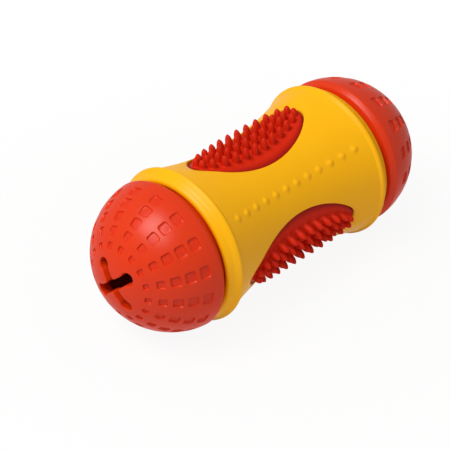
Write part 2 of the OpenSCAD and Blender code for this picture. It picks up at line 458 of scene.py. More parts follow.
@dataclass
class BarrelSleeve:
    """The yellow hourglass sleeve, with its windows, its rows of nubs and its beaded rims."""

    waist_r: float = 27.2
    rim_r: float = 34.4
    rim_place: float = 42.8
    rim_proud: float = 0.6
    rim_bead_r: float = 1.3
    rim_bead_start: float = 146.0
    rim_bead_steps: int = 12
    rim_bead_foot: float = 0.3
    lip_r: float = 30.3
    lip_place: float = 46.2
    lip_bead_r: float = 1.7
    lip_bead_end: float = -80.0
    lip_bead_steps: int = 16
    lip_round: float = 0.15
    ring_slope: float = 39.5
    ring_hollow: float = 0.4
    ring_hollow_round: float = 0.9
    socket_r: float = 27.5
    socket_floor: float = 40.4
    socket_round: float = 0.3
    bore_r: float = 24.9
    flare_end: float = 40.6
    window_length: float = 62.0
    window_width: float = 30.6
    window_round: float = 0.45
    window_round_steps: int = 5
    scoop_slope: float = 35.0
    scoop_floor: float = 29.33
    scoop_soft: float = 1.8
    nub_count: int = 12
    nub_pitch: float = 6.3
    nub_reach: float = 2.35
    nub_height: float = 0.72
    nub_flat: float = 0.05
    nub_power: float = 1.45
    side_steps: int = 160
    end_steps: int = 56
    slope_step: float = 0.1
    # Angle of the oval's turn that faces a corner of the window's share of the sleeve
    corner_turn: float = 30.0
    # Rings of the mesh: over the bore, up the window's wall and over the face, as shares of the way
    bore_shares: tuple[float, ...] = (0.0, 0.35, 0.65, 0.88)
    wall_shares: tuple[float, ...] = (0.0, 0.1, 0.5, 0.85, 1.0)
    face_shares: tuple[float, ...] = (0.0, 0.1, 0.22, 0.36, 0.52, 0.68, 0.84, 1.0)
    # Rings beside the window's rounded edge, and inside the border of its share, as distances
    edge_ring: float = 0.35
    near_ring: float = 0.8
    border_rings: tuple[float, ...] = (3.8, 3.2, 2.7, 2.25, 1.8, 1.35, 0.9, 0.45, 0.0)

    def flare(self, place: float) -> float:
        """Return the sleeve's outer radius at a place along the axis."""
        return hourglass(self.waist_r, self.rim_r - self.rim_proud, self.rim_place, place)

    def build(self) -> bpy.types.Object:
        """Build the sleeve.

        Returns:
            The sleeve's object.
        """
        shell = bmesh.new()
        self._skin_window(shell)
        turn = math.tau / PAD_COUNT
        bmesh.ops.spin(shell, geom=shell.verts[:] + shell.edges[:] + shell.faces[:],
                       axis=(1, 0, 0), cent=(0, 0, 0), steps=PAD_COUNT - 1,
                       angle=turn * (PAD_COUNT - 1), use_duplicate=True)
        bmesh.ops.remove_doubles(shell, verts=shell.verts, dist=WELD)
        for end in End:
            self._skin_rim(shell, end)
        weld(shell)
        self._raise_nubs(shell)
        return finish_piece("hourglass_sleeve", shell, Body.SLEEVE, "barrel_sleeve",
                            Slot.SLEEVE_RUBBER, SLEEVE_FINISH.material(), crease=50)

    def _border_shares(self) -> list[tuple[float, float]]:
        """Go round the border of a window's share of the sleeve.

        Returns:
            The border's points in order, as shares along and round the axis from -1 to 1.
        """
        ends = [blend(-1, 1, k / self.end_steps) for k in range(self.end_steps)]
        sides = [blend(1, -1, k / self.side_steps) for k in range(self.side_steps)]
        half = [(1.0, v) for v in ends] + [(u, 1.0) for u in sides]
        return half + [(-u, -v) for u, v in half]

    def _oval_turn(self, along: float, across: float) -> tuple[float, float]:
        """Find the turn of the window's oval that faces a border point.

        Args:
            along: The border point's share along the axis.
            across: The border point's share round the axis.

        Returns:
            The turn's cosine and sine.
        """
        corner = math.radians(self.corner_turn)
        if abs(along) == 1.0:
            rise = across * math.sin(corner)
            return along * math.sqrt(1 - rise**2), rise
        reach = along * math.cos(corner)
        return reach, across * math.sqrt(1 - reach**2)

    def _window_point(self, turn: tuple[float, float], outside: float) -> tuple[float, float]:
        """Find a point at a distance outside the window's edge.

        Args:
            turn: Cosine and sine of the oval's turn.
            outside: Distance out from the edge.

        Returns:
            The point's place along the axis and straight across.
        """
        half = Vector((self.window_length / 2, self.window_width / 2))
        away = Vector((turn[0] / half.x, turn[1] / half.y)).normalized()
        return turn[0] * half.x + away.x * outside, turn[1] * half.y + away.y * outside

    @staticmethod
    def _stand(place: float, across: float, height: float) -> Vector:
        """Return the point at a place, straight across the first window and over the axis."""
        angle = math.degrees(math.atan2(across, height))
        return around(place, math.hypot(across, height), FIRST_PAD_ANGLE + angle)

    def _face_height(self, place: float, across: float) -> float:
        """Find the height of the sleeve's face, scooped at the window's ends.

        Args:
            place: Place along the axis.
            across: Distance straight across from the middle.

        Returns:
            The height over the axis.
        """
        flare = math.sqrt(self.flare(place)**2 - across**2)
        edge = 1 - (2 * across / self.window_width) ** 2
        if edge <= 0:
            return flare
        outside = abs(place) - self.window_length / 2 * math.sqrt(edge)
        scoop = self.scoop_floor + outside * math.tan(math.radians(self.scoop_slope))
        near = max(0.0, 1 - abs(flare - scoop) / self.scoop_soft)
        return min(flare, scoop) - near**2 * self.scoop_soft / 4

    def _skin_window(self, shell: BMesh) -> None:
        """Skin one window's share of the sleeve, from the bore through the window to outside.

        Args:
            shell: The mesh that gets the skin.
        """
        ring: Ring = []
        for station in self._window_stations():
            ring = carry_ring(shell, ring, station) if ring else start_ring(shell, station)

    def _window_stations(self) -> Iterator[Station]:
        """Give the stations of one window's share of the sleeve, from the bore to outside.

        Returns:
            The stations in order.
        """
        shares = self._border_shares()
        turns = [self._oval_turn(u, v) for u, v in shares]
        reach = PAD_STEP_ANGLE / 2
        edge = [self._window_point(t, 0.0) for t in turns]
        bore = [math.sqrt(self.bore_r**2 - y**2) for _, y in edge]
        for share in self.bore_shares:
            yield [
                around(blend(u * self.socket_floor, x, share), self.bore_r, FIRST_PAD_ANGLE
                       + blend(v * reach, math.degrees(math.asin(y / self.bore_r)), share))
                for (u, v), (x, y) in zip(shares, edge)
            ]
        top = [self._face_height(x, y) - self.window_round for x, y in edge]
        for share in self.wall_shares:
            yield [self._stand(x, y, blend(low, high, share))
                   for (x, y), low, high in zip(edge, bore, top)]
        for k in range(1, self.window_round_steps + 1):
            turn = math.radians(90 * k / self.window_round_steps)
            drop = self.window_round * (1 - math.sin(turn))
            yield self._outside(turns, self.window_round * (1 - math.cos(turn)), drop)
        yield self._outside(turns, self.window_round + self.edge_ring, 0.0)
        near = [self._window_point(t, self.window_round + self.near_ring) for t in turns]
        first, *rest = self.border_rings
        rings = [(first, share) for share in self.face_shares] + [(margin, 1.0) for margin in rest]
        for margin, share in rings:
            yield [self._lay(u, v, near[i], margin, share) for i, (u, v) in enumerate(shares)]

    def _outside(self, turns: Sequence[tuple[float, float]], outside: float,
                 drop: float) -> Station:
        """Return a station that runs round the window's edge.

        Args:
            turns: Cosine and sine of the oval's turn at each point.
            outside: Distance out from the window.
            drop: Depth below the sleeve's face.

        Returns:
            The station's points.
        """
        spots = [self._window_point(t, outside) for t in turns]
        return [self._stand(x, y, self._face_height(x, y) - drop) for x, y in spots]

    def _lay(self, along: float, across: float, near: tuple[float, float], margin: float,
             share: float) -> Vector:
        """Return a point of the sleeve's face between a window's edge and its share's border.

        Args:
            along: The border point's share along the axis.
            across: The border point's share round the axis.
            near: The point beside the window, along the axis and straight across.
            margin: Distance of the far end from the border.
            share: Share of the way from the window.

        Returns:
            The point.
        """
        reach = PAD_STEP_ANGLE / 2
        far_place = along * (self.flare_end - margin)
        far_angle = across * (reach - math.degrees(margin / self.flare(far_place)))
        near_angle = math.degrees(math.asin(near[1] / self.flare(near[0])))
        place = blend(near[0], far_place, share)
        aside = self.flare(place) * math.sin(math.radians(blend(near_angle, far_angle, share)))
        return self._stand(place, aside, self._face_height(place, aside))

    def _rim_profile(self) -> Profile:
        """Draw the rim's profile from the flare's end, over both beads and into the socket.

        Returns:
            The points as place and radius.
        """
        lean = 90 - self.ring_slope
        bead = arc((self.rim_place, self.rim_r - self.rim_bead_r), self.rim_bead_r,
                   self.rim_bead_start, lean, self.rim_bead_steps)
        lip = arc((self.lip_place, self.lip_r), self.lip_bead_r,
                  lean, self.lip_bead_end, self.lip_bead_steps)
        sink = Vector((math.cos(math.radians(lean)), math.sin(math.radians(lean))))
        dip = Vector(bead[-1]).lerp(Vector(lip[0]), 0.5) - sink * self.ring_hollow
        between = rounded([(*bead[-1], 0), (*dip, self.ring_hollow_round), (*lip[0], 0)], steps=6)
        start = (self.flare_end, self.flare(self.flare_end))
        slope = (start[1] - self.flare(self.flare_end - self.slope_step)) / self.slope_step
        foot = bead[0][0] - self.rim_bead_foot
        meet = (foot, start[1] + slope * (foot - start[0]))
        hollow = rounded([(*start, 0), (*meet, self.rim_bead_foot), (*bead[0], 0)], steps=5)
        inside = rounded([
            (*lip[-1], 0),
            (self.lip_place, self.lip_r - self.lip_bead_r, self.lip_round),
            (self.lip_place, self.socket_r, self.socket_round),
            (self.socket_floor, self.socket_r, self.socket_round),
            (self.socket_floor, self.bore_r, 0),
        ], steps=3)
        return hollow[1:-1] + bead + between[1:-1] + lip + inside[1:]

    def _skin_rim(self, shell: BMesh, end: End) -> None:
        """Skin one rim from the open edge of the flare to the open edge of the bore.

        Args:
            shell: The mesh that has the open edges.
            end: The end that gets the rim.
        """
        tip = end.value * self.flare_end
        ring = [v for v in shell.verts if abs(v.co.x - tip) < WELD and v.is_boundary]
        ring.sort(key=lambda v: angle_of(v.co))
        angles = [angle_of(v.co) for v in ring]
        for place, radius in self._rim_profile():
            ring = carry_ring(shell, ring, [around(end.value * place, radius, a) for a in angles])

    def _raise_nubs(self, shell: BMesh) -> None:
        """Raise the rounded diamonds along the lines between the windows.

        Args:
            shell: The sleeve's mesh.
        """
        step = PAD_STEP_ANGLE
        first = FIRST_PAD_ANGLE + step / 2
        last = (self.nub_count - 1) / 2
        for vert in shell.verts:
            radius = math.hypot(vert.co.y, vert.co.z)
            if abs(vert.co.x) > self.flare_end or radius < self.waist_r - WELD:
                continue
            angle = angle_of(vert.co)
            round_off = (angle - first + step / 2) % step - step / 2
            number = min(last, max(-last, round(vert.co.x / self.nub_pitch + last) - last))
            along = abs(vert.co.x - number * self.nub_pitch)
            across = abs(math.radians(round_off) * radius)
            power = self.nub_power
            away = (along**power + across**power) ** (1 / power) / self.nub_reach
            if away < 1:
                lift = self.nub_height * (1 - ease(self.nub_flat, 1.0, away))
                vert.co = around(vert.co.x, radius + lift, angle)


@dataclass
class SpikedPad:
    """A red pad behind a window: a hollowed oval face, its spikes, and the flange under it."""

    index: int
    face_r: float = 26.4
    face_end_r: float = 29.32
    face_end: float = 31.0
    half_length: float = 30.7
    half_width: float = 15.0
    edge_round: float = 0.5
    edge_round_steps: int = 3
    flange_reach: float = 2.8
    flange_r: float = 24.8
    under_r: float = 23.5
    spike_height: float = 5.4
    spike_drop: float = 2.2
    spike_r: float = 1.85
    spike_pitch: float = 5.2
    spike_lean: float = 0.5
    row_pitch: float = 5.0
    row_counts: tuple[int, int] = (4, 5)
    last_place: float = 27.0
    last_across: float = 1.9
    spike_sides: int = 14
    outline_steps: int = 144
    # Rings inside the face's edge: growth along the toy, growth across, share of the painted shadow
    # colour
    margin_rings: tuple[tuple[float, float, float], ...] = (
        (-0.7, -1.3, 0.8), (-0.85, -2.3, 0.4), (-1.0, -3.2, 0.1), (-1.1, -3.7, 0.0))
    # A spike's side from its foot to its tip: share of the foot's radius, share of the height
    spike_side: tuple[tuple[float, float], ...] = (
        (0.92, 0.03), (0.87, 0.1), (0.855, 0.28), (0.81, 0.48), (0.7, 0.67),
        (0.52, 0.82), (0.33, 0.925), (0.15, 0.985), (0.0, 1.0))
    # Rings of the back, as shares of its full size
    back_shares: tuple[float, ...] = (0.85, 0.7, 0.55, 0.4, 0.25, 0.1, 0.0)

    @property
    def angle(self) -> float:
        """Angle of the pad's middle round the axis."""
        return FIRST_PAD_ANGLE + (self.index - 1) * PAD_STEP_ANGLE

    def build(self) -> bpy.types.Object:
        """Build the pad.

        Returns:
            The pad's object.
        """
        shell = bmesh.new()
        painted_shade = shell.verts.layers.float.new(PAINTED_SHADE_LAYER)
        edge = start_ring(shell, self._flat_oval(-self.edge_round, -self.edge_round))
        ring = edge
        # Painted shadow: the margin rings and the face's edge are marked darker along the window's
        # wall, fullest at the edge.
        for along, across, shade in self.margin_rings:
            ring = carry_ring(shell, ring, self._flat_oval(along, across))
            for vert in ring:
                vert[painted_shade] = shade
        for vert in edge:
            vert[painted_shade] = 1.0
        feet = [self._foot(shell, spot) for spot in self._spots()]
        edges = [side for loop in (ring, *feet) for side in ring_edges(shell, loop)]
        bmesh.ops.triangle_fill(shell, use_beauty=True, edges=edges, normal=(0, 0, 1))
        for spot, foot in zip(self._spots(), feet):
            self._raise_spike(shell, spot, foot)
        for vert in shell.verts:
            vert.co = self._settle(vert.co)
        self._skin_edge(shell, edge)
        weld(shell)
        return finish_piece(f"spiked_insert_{self.index}", shell, Body.SLEEVE,
                            f"spiked_pad_{self.index}", Slot.PAD_RUBBER, PAD_FINISH.material(),
                            crease=60)

    def _turns(self) -> list[float]:
        """Return the turns of the outline's points."""
        return [math.tau * k / self.outline_steps for k in range(self.outline_steps)]

    def _flat_oval(self, along: float, across: float) -> Station:
        """Return an oval of the face laid flat, grown along the toy and across the pad."""
        return [Vector(((self.half_length + along) * math.cos(t),
                        (self.half_width + across) * math.sin(t), 0)) for t in self._turns()]

    def _spots(self) -> list[tuple[float, float]]:
        """Lay out the spikes.

        Returns:
            The places, along the toy and across the pad.
        """
        outer = (len(self.row_counts) - 0.5) * self.row_pitch
        oval = self.last_place / math.sqrt(1 - (self.last_across / outer) ** 2)
        quarter = [(self.last_place, self.last_across)]
        for row, count in enumerate(self.row_counts):
            for k in range(count):
                along = (k + 0.5) * self.spike_pitch
                full = (row + 0.5) * self.row_pitch
                quarter.append((along, full * math.sqrt(1 - (along / oval) ** 2)))
        lone = (self.last_place + (self.row_counts[0] - 0.5) * self.spike_pitch) / 2
        signs = ((-1, -1), (-1, 1), (1, -1), (1, 1))
        return [(a * x, b * y) for x, y in quarter for a, b in signs] + [(-lone, 0), (lone, 0)]

    def _foot(self, shell: BMesh, spot: tuple[float, float]) -> Ring:
        """Lay the round foot of a spike on the flat face.

        Args:
            shell: The pad's mesh.
            spot: The spike's place, along the toy and across the pad.

        Returns:
            The foot's vertices in order.
        """
        made = bmesh.ops.create_circle(shell, segments=self.spike_sides, radius=self.spike_r,
                                       matrix=Matrix.Translation((*spot, 0)))
        return list(made["verts"])

    def _raise_spike(self, shell: BMesh, spot: tuple[float, float], foot: Ring) -> None:
        """Raise a spike from its foot to its blunt tip, on the flat face.

        Args:
            shell: The pad's mesh.
            spot: The spike's place, along the toy and across the pad.
            foot: The foot's vertices in order.
        """
        outward = [(v.co - Vector((*spot, 0))).normalized() for v in foot]
        height = self.spike_height - self.spike_drop * (spot[0] / self.face_end) ** 2
        lean = math.tan(self.spike_lean * math.asin(spot[1] / self._face(spot[0])))
        ring = foot
        for share, rise in self.spike_side:
            up = rise * height
            middle = Vector((spot[0], spot[1] + up * lean, up))
            ring = carry_ring(shell, ring, [middle + d * share * self.spike_r for d in outward])

    def _face(self, place: float) -> float:
        """Return the face's radius at a place along the axis."""
        return hourglass(self.face_r, self.face_end_r, self.face_end, place)

    def _settle(self, flat: Vector) -> Vector:
        """Carry a point of the flat face to the toy.

        Args:
            flat: The point of the flat face.

        Returns:
            The place on the toy.
        """
        height = math.sqrt(self._face(flat.x) ** 2 - flat.y**2) + flat.z
        return around(flat.x, math.hypot(flat.y, height),
                      self.angle - math.degrees(math.atan2(flat.y, height)))

    def _oval(self, grow: float, radius: float, share: float = 1.0) -> Station:
        """Return a station round the pad.

        Args:
            grow: Distance outside the pad's edge.
            radius: Distance from the axis.
            share: Size of the oval against the full one.

        Returns:
            The station's points.
        """
        return [
            around((self.half_length + grow) * share * math.cos(t), radius,
                   self.angle - math.degrees(
                       math.asin((self.half_width + grow) * share * math.sin(t) / radius)))
            for t in self._turns()
        ]

    def _skin_edge(self, shell: BMesh, ring: Ring) -> None:
        """Skin the pad from the edge of its face over the flange to the middle of its back.

        Args:
            shell: The pad's mesh.
            ring: The vertices of the face's edge, in order.
        """
        for k in range(1, self.edge_round_steps + 1):
            turn = math.radians(90 * k / self.edge_round_steps)
            back = self.edge_round * (math.sin(turn) - 1)
            drop = Vector((0, 0, self.edge_round * (1 - math.cos(turn))))
            ring = carry_ring(shell, ring,
                              [self._settle(v - drop) for v in self._flat_oval(back, back)])
        for grow, radius in ((0.0, self.flange_r), (self.flange_reach, self.flange_r),
                             (self.flange_reach, self.under_r)):
            ring = carry_ring(shell, ring, self._oval(grow, radius))
        for share in self.back_shares:
            ring = carry_ring(shell, ring, self._oval(self.flange_reach, self.under_r, share))


@dataclass
class PittedDome:
    """A red hollow dome: rows of pits, a crossed treat mouth, and the spigot in the sleeve."""

    end: End
    half_length: float = 82.5
    shoulder_r: float = 32.9
    shoulder_place: float = 52.4
    shoulder_round: float = 0.4
    wall: float = 4.5
    spigot_r: float = 27.45
    spigot_bore_r: float = 22.45
    spigot_end: float = 40.5
    neck_r: float = 28.3
    neck_start: float = 46.5
    band_start: float = 48.2
    band: tuple[float, float] = (50.2, 31.5)
    band_foot: tuple[float, float] = (49.5, 29.2)
    band_round: float = 0.7
    band_foot_round: float = 0.6
    neck_round: float = 0.3
    spigot_root_round: float = 0.2
    spigot_end_round: float = 0.6
    bore_round: float = 0.8
    first_row_angle: float = 140.0
    pit_rows: int = 16
    pit_count: int = 5
    pit_start: float = 17.0
    pit_pitch: float = 6.2
    pit_angle: float = 9.5
    pit_length: float = 4.3
    pit_depth: float = 0.8
    pit_soft: float = 0.13
    pit_corner: float = 0.24
    slit_width: float = 4.2
    slit_end_r: float = 2.8
    slit_reach: float = 12.0
    slit_round: float = 0.45
    slit_round_steps: int = 4
    slit_smoothings: int = 4
    flap_round: float = 0.8
    cap_arc: float = 14.9
    hollow_cap_r: float = 14.0
    hollow_steps: int = 9
    # Meridians of half a row: shares of a pit's half width, then shares of the row's pitch
    pit_meridians: tuple[float, ...] = (0.0, 0.36, 0.68, 0.84, 0.925, 1.0, 1.075, 1.16, 1.32)
    gap_meridians: tuple[float, ...] = (0.36, 0.43)
    # Rings of the ball: distances from a pit's end wall, before the next pit, and from the shoulder
    pit_rings: tuple[float, ...] = (0.45, 0.2, 0.1, 0.0, -0.1, -0.2, -0.45)
    gap_ring: float = 0.85
    shoulder_rings: tuple[float, ...] = (3.4, 2.4, 1.5, 1.0)
    # Rings of the mouth: shares of the wall's depth, depth under the edge as a share of its rounding,
    # distance outside the edge, and shares of the way over the cap and under it
    mouth_depths: tuple[float, ...] = (0.55, 0.3)
    mouth_edge_depth: float = 1.6
    mouth_ring: float = 0.25
    cap_shares: tuple[float, ...] = (0.0, 0.08, 0.18, 0.32, 0.48, 0.66, 0.84, 1.0)
    under_shares: tuple[float, ...] = (0.25, 0.5, 0.75, 0.92, 1.0)

    @property
    def ball_r(self) -> float:
        """Radius of the ball that the dome is part of."""
        rise = self.half_length - self.shoulder_place
        return (self.shoulder_r**2 + rise**2) / (2 * rise)

    @property
    def ball_place(self) -> float:
        """Place of the ball's middle along the axis."""
        return self.half_length - self.ball_r

    def build(self) -> bpy.types.Object:
        """Build the dome.

        Returns:
            The dome's object.
        """
        shell = bmesh.new()
        painted_shade = shell.verts.layers.float.new(PAINTED_SHADE_LAYER)
        angles = self._angles()
        slit = self._slit_outline()
        mouth = list(self._mouth_stations(slit, angles))
        ring = start_ring(shell, mouth[0])
        for station in mouth[1:]:
            ring = carry_ring(shell, ring, station)
        for from_tip in self._pit_arcs():
            depths = [self._pit_depth(from_tip, a) for a in angles]
            ring = carry_ring(shell, ring, [
                self._on_ball(self.ball_r - depth, from_tip / self.ball_r, a)
                for a, depth in zip(angles, depths)
            ])
            # Painted shade: each vertex is marked darker the deeper it lies in a pit.
            for vert, depth in zip(ring, depths):
                vert[painted_shade] = depth / self.pit_depth
        for place, radius in self._body_profile():
            ring = carry_ring(shell, ring, [around(place, radius, a) for a in angles])
        for station in self._inner_stations(slit, angles):
            ring = carry_ring(shell, ring, station)
        carry_ring(shell, ring, mouth[0])
        bmesh.ops.scale(shell, vec=(self.end.value, 1, 1), verts=shell.verts)
        weld(shell)
        name = self.end.name.lower()
        return finish_piece(f"{name}_pitted_dome", shell, Body[f"{self.end.name}_DOME"],
                            f"{name}_dome", Slot.DOME_RUBBER, DOME_FINISH.material(), crease=50)

    def _angles(self) -> list[float]:
        """Lay out the meridians, closer together at the pits' side walls.

        Returns:
            The angles in degrees.
        """
        pitch = 360 / self.pit_rows
        edge = self.pit_angle / pitch / 2
        half = [share * edge for share in self.pit_meridians] + list(self.gap_meridians)
        shares = half + [0.5] + [1 - s for s in half[:0:-1]]
        return [self.first_row_angle + pitch * (row + s)
                for row in range(self.pit_rows) for s in shares]

    def _on_ball(self, radius: float, turn: float, angle: float) -> Vector:
        """Return a point at a radius from the ball's middle and a turn in radians from the tip."""
        return around(self.ball_place + radius * math.cos(turn), radius * math.sin(turn), angle)

    def _pit_arcs(self) -> list[float]:
        """Lay out the rings of the ball, closer together at the pits' end walls.

        Returns:
            The rings' distances from the tip over the ball, rising.
        """
        arcs = []
        for k in range(self.pit_count):
            middle = self.pit_start + k * self.pit_pitch
            half = self._pit_size(middle)[0] / 2
            for off in self.pit_rings:
                arcs += [middle - half - off, middle + half + off]
            arcs += [middle - half / 3, middle + half / 3, middle - half - self.gap_ring]
        last = self.ball_r * math.atan2(self.shoulder_r, self.shoulder_place - self.ball_place)
        arcs += [last - off for off in (*self.shoulder_rings, self.shoulder_round)]
        return sorted(a for a in arcs if a > self.cap_arc)

    def _pit_size(self, from_tip: float) -> tuple[float, float]:
        """Return a pit's length along its row and its width round the axis."""
        width = self.ball_r * math.sin(from_tip / self.ball_r) * math.radians(self.pit_angle)
        return min(width, self.pit_length), width

    def _pit_depth(self, from_tip: float, angle: float) -> float:
        """Find the depth of the pits at a point of the ball.

        Args:
            from_tip: Distance from the tip over the ball.
            angle: Angle round the axis.

        Returns:
            The depth, which is 0 between the pits.
        """
        number = round((from_tip - self.pit_start) / self.pit_pitch)
        if not 0 <= number < self.pit_count:
            return 0.0
        middle = self.pit_start + number * self.pit_pitch
        length, width = self._pit_size(middle)
        pitch = 360 / self.pit_rows
        off = (angle - self.first_row_angle + pitch / 2) % pitch - pitch / 2
        corner = self.pit_corner * length
        out = Vector((
            abs(from_tip - middle) - length / 2 + corner,
            abs(off) / self.pit_angle * width - width / 2 + corner,
        ))
        outside = Vector((max(out.x, 0), max(out.y, 0))).length + min(max(out), 0) - corner
        return self.pit_depth * (1 - ease(-self.pit_soft, self.pit_soft, outside))

    def _slit_outline(self) -> list[Vector]:
        """Draw the treat mouth's outline in its plane, one point to each meridian.

        Returns:
            The points in order.
        """
        quarter = len(self._angles()) // 4
        half = quarter // 2
        points = []
        for arm in range(4):
            turn = Matrix.Rotation(math.radians(90 * arm), 2)
            for k in range(quarter):
                spot = self._slit_point(min(k, quarter - k) / half)
                points.append(turn @ (spot if k <= half else spot.yx))
        for _ in range(self.slit_smoothings):
            points = [(points[k - 1] + points[k] * 2 + points[(k + 1) % len(points)]) / 4
                      for k in range(len(points))]
        return points

    def _slit_point(self, share: float) -> Vector:
        """Find a point on the way from an arm's tip to the corner of a flap.

        Args:
            share: Share of the way.

        Returns:
            The point, with the arm along the first axis.
        """
        half = self.slit_width / 2
        middle = self.slit_reach - self.slit_end_r
        bend = math.pi - math.asin(half / self.slit_end_r)
        shoulder = middle + self.slit_end_r * math.cos(bend)
        corner = half + self.flap_round
        lengths = (self.slit_end_r * bend, shoulder - corner, self.flap_round * math.pi / 4)
        way = share * sum(lengths)
        if way <= lengths[0]:
            turn = way / self.slit_end_r
            return Vector((middle + self.slit_end_r * math.cos(turn),
                           self.slit_end_r * math.sin(turn)))
        way -= lengths[0]
        if way <= lengths[1]:
            return Vector((shoulder - way, half))
        turn = (way - lengths[1]) / self.flap_round
        return Vector((corner - self.flap_round * math.sin(turn),
                       corner - self.flap_round * math.cos(turn)))

    def _from_plane(self, spot: Vector, radius: float, drop: float = 0.0) -> Vector:
        """Return the point of a ball over a spot of the mouth's plane.

        Args:
            spot: The spot, whose first axis is the first arm.
            radius: The ball's radius.
            drop: Depth below the ball, along the axis.

        Returns:
            The point.
        """
        place = self.ball_place + math.sqrt(radius**2 - spot.length_squared) - drop
        angle = self.first_row_angle + math.degrees(math.atan2(spot.y, spot.x))
        return around(place, spot.length, angle)

    def _cap_circle(self, radius: float, angles: Sequence[float]) -> list[Vector]:
        """Return the spots of a circle round the mouth, one to each meridian."""
        turns = [math.radians(a - self.first_row_angle) for a in angles]
        return [Vector((radius * math.cos(t), radius * math.sin(t))) for t in turns]

    def _mouth_stations(self, slit: Sequence[Vector],
                        angles: Sequence[float]) -> Iterator[Station]:
        """Give the stations from the middle of the mouth's wall to the first ring of the ball.

        Args:
            slit: The mouth's outline, one point to each meridian.
            angles: The meridians' angles.

        Returns:
            The stations in order.
        """
        count = len(slit)
        outward = []
        for k in range(count):
            along = slit[(k + 1) % count] - slit[k - 1]
            outward.append(Vector((along.y, -along.x)).normalized())
        size = self.slit_round
        for drop in (*(self.wall * d for d in self.mouth_depths), size * self.mouth_edge_depth):
            yield [self._from_plane(p, self.ball_r, drop) for p in slit]
        for k in range(self.slit_round_steps + 1):
            turn = math.radians(90 * k / self.slit_round_steps)
            yield [self._from_plane(p + n * size * (1 - math.cos(turn)), self.ball_r,
                                    size * (1 - math.sin(turn)))
                   for p, n in zip(slit, outward)]
        near = [p + n * (size + self.mouth_ring) for p, n in zip(slit, outward)]
        far = self._cap_circle(self.ball_r * math.sin(self.cap_arc / self.ball_r), angles)
        for share in self.cap_shares:
            yield [self._from_plane(a.lerp(b, share), self.ball_r) for a, b in zip(near, far)]

    def _inner_stations(self, slit: Sequence[Vector],
                        angles: Sequence[float]) -> Iterator[Station]:
        """Give the stations from the hollow's shoulder to the foot of the mouth's wall.

        Args:
            slit: The mouth's outline, one point to each meridian.
            angles: The meridians' angles.

        Returns:
            The stations in order.
        """
        hollow_r = self.ball_r - self.wall
        first = math.acos((self.shoulder_place - self.ball_place) / hollow_r)
        last = math.asin(self.hollow_cap_r / hollow_r)
        for k in range(1, self.hollow_steps + 1):
            turn = blend(first, last, k / self.hollow_steps)
            yield [self._on_ball(hollow_r, turn, a) for a in angles]
        far = self._cap_circle(self.hollow_cap_r, angles)
        for share in self.under_shares:
            yield [self._from_plane(a.lerp(b, share), hollow_r) for a, b in zip(far, slit)]

    def _body_profile(self) -> Profile:
        """Draw the profile from the ball's edge over the shoulder and the spigot to the hollow.

        Returns:
            The points as place and radius.
        """
        edge = self.ball_r * math.atan2(self.shoulder_r, self.shoulder_place - self.ball_place)
        start = self._on_ball(self.ball_r, (edge - self.shoulder_round) / self.ball_r, 0)
        hollow_r = self.ball_r - self.wall
        hollow_shoulder = math.sqrt(hollow_r**2 - (self.shoulder_place - self.ball_place) ** 2)
        return rounded([
            (start.x, start.y, 0),
            (self.shoulder_place, self.shoulder_r, self.shoulder_round),
            (*self.band, self.band_round),
            (*self.band_foot, self.band_foot_round),
            (self.band_start, self.neck_r, self.neck_round),
            (self.neck_start, self.neck_r, self.neck_round),
            (self.neck_start, self.spigot_r, self.spigot_root_round),
            (self.spigot_end, self.spigot_r, self.spigot_end_round),
            (self.spigot_end, self.spigot_bore_r, self.spigot_end_round),
            (self.band_start, self.spigot_bore_r, self.bore_round),
            (self.shoulder_place, hollow_shoulder, 0),
        ])[1:]


@dataclass
class TreatTube:
    """The cream tube inside the sleeve, which keeps its solid and gets its finish."""

    node: str = "treat_tube"

    def dress(self) -> None:
        """Give the tube's solid its finish."""
        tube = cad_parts[self.node]
        tube.data.materials.clear()
        tube.data.materials.append(TUBE_FINISH.material())
        LOG.info("%s: dressed", self.node)


@dataclass(frozen=True)
class Lamp:
    """A soft square lamp that faces the toy. Lengths are in metres.

    Attributes:
        name: The lamp's name.
        place: The lamp's place.
        size: Length of its side.
        power: Its power in watts.
    """

    name: str
    place: tuple[float, float, float]
    size: float
    power: float

    def hang(self) -> None:
        """Hang the lamp."""
        data = bpy.data.lights.new(self.name, "AREA")
        data.size = self.size
        data.energy = self.power
        lamp = bpy.data.objects.new(self.name, data)
        lamp.location = self.place
        lamp.rotation_euler = Vector(self.place).to_track_quat("Z", "Y").to_euler()
        bpy.context.scene.collection.objects.link(lamp)


KEY_LIGHT = Lamp("key_light", (-0.54, 0.12, 0.99), size=0.5, power=8.3)
FRONT_LIGHT = Lamp("front_light", (-0.66, -0.3, 0.93), size=0.3, power=2.4)


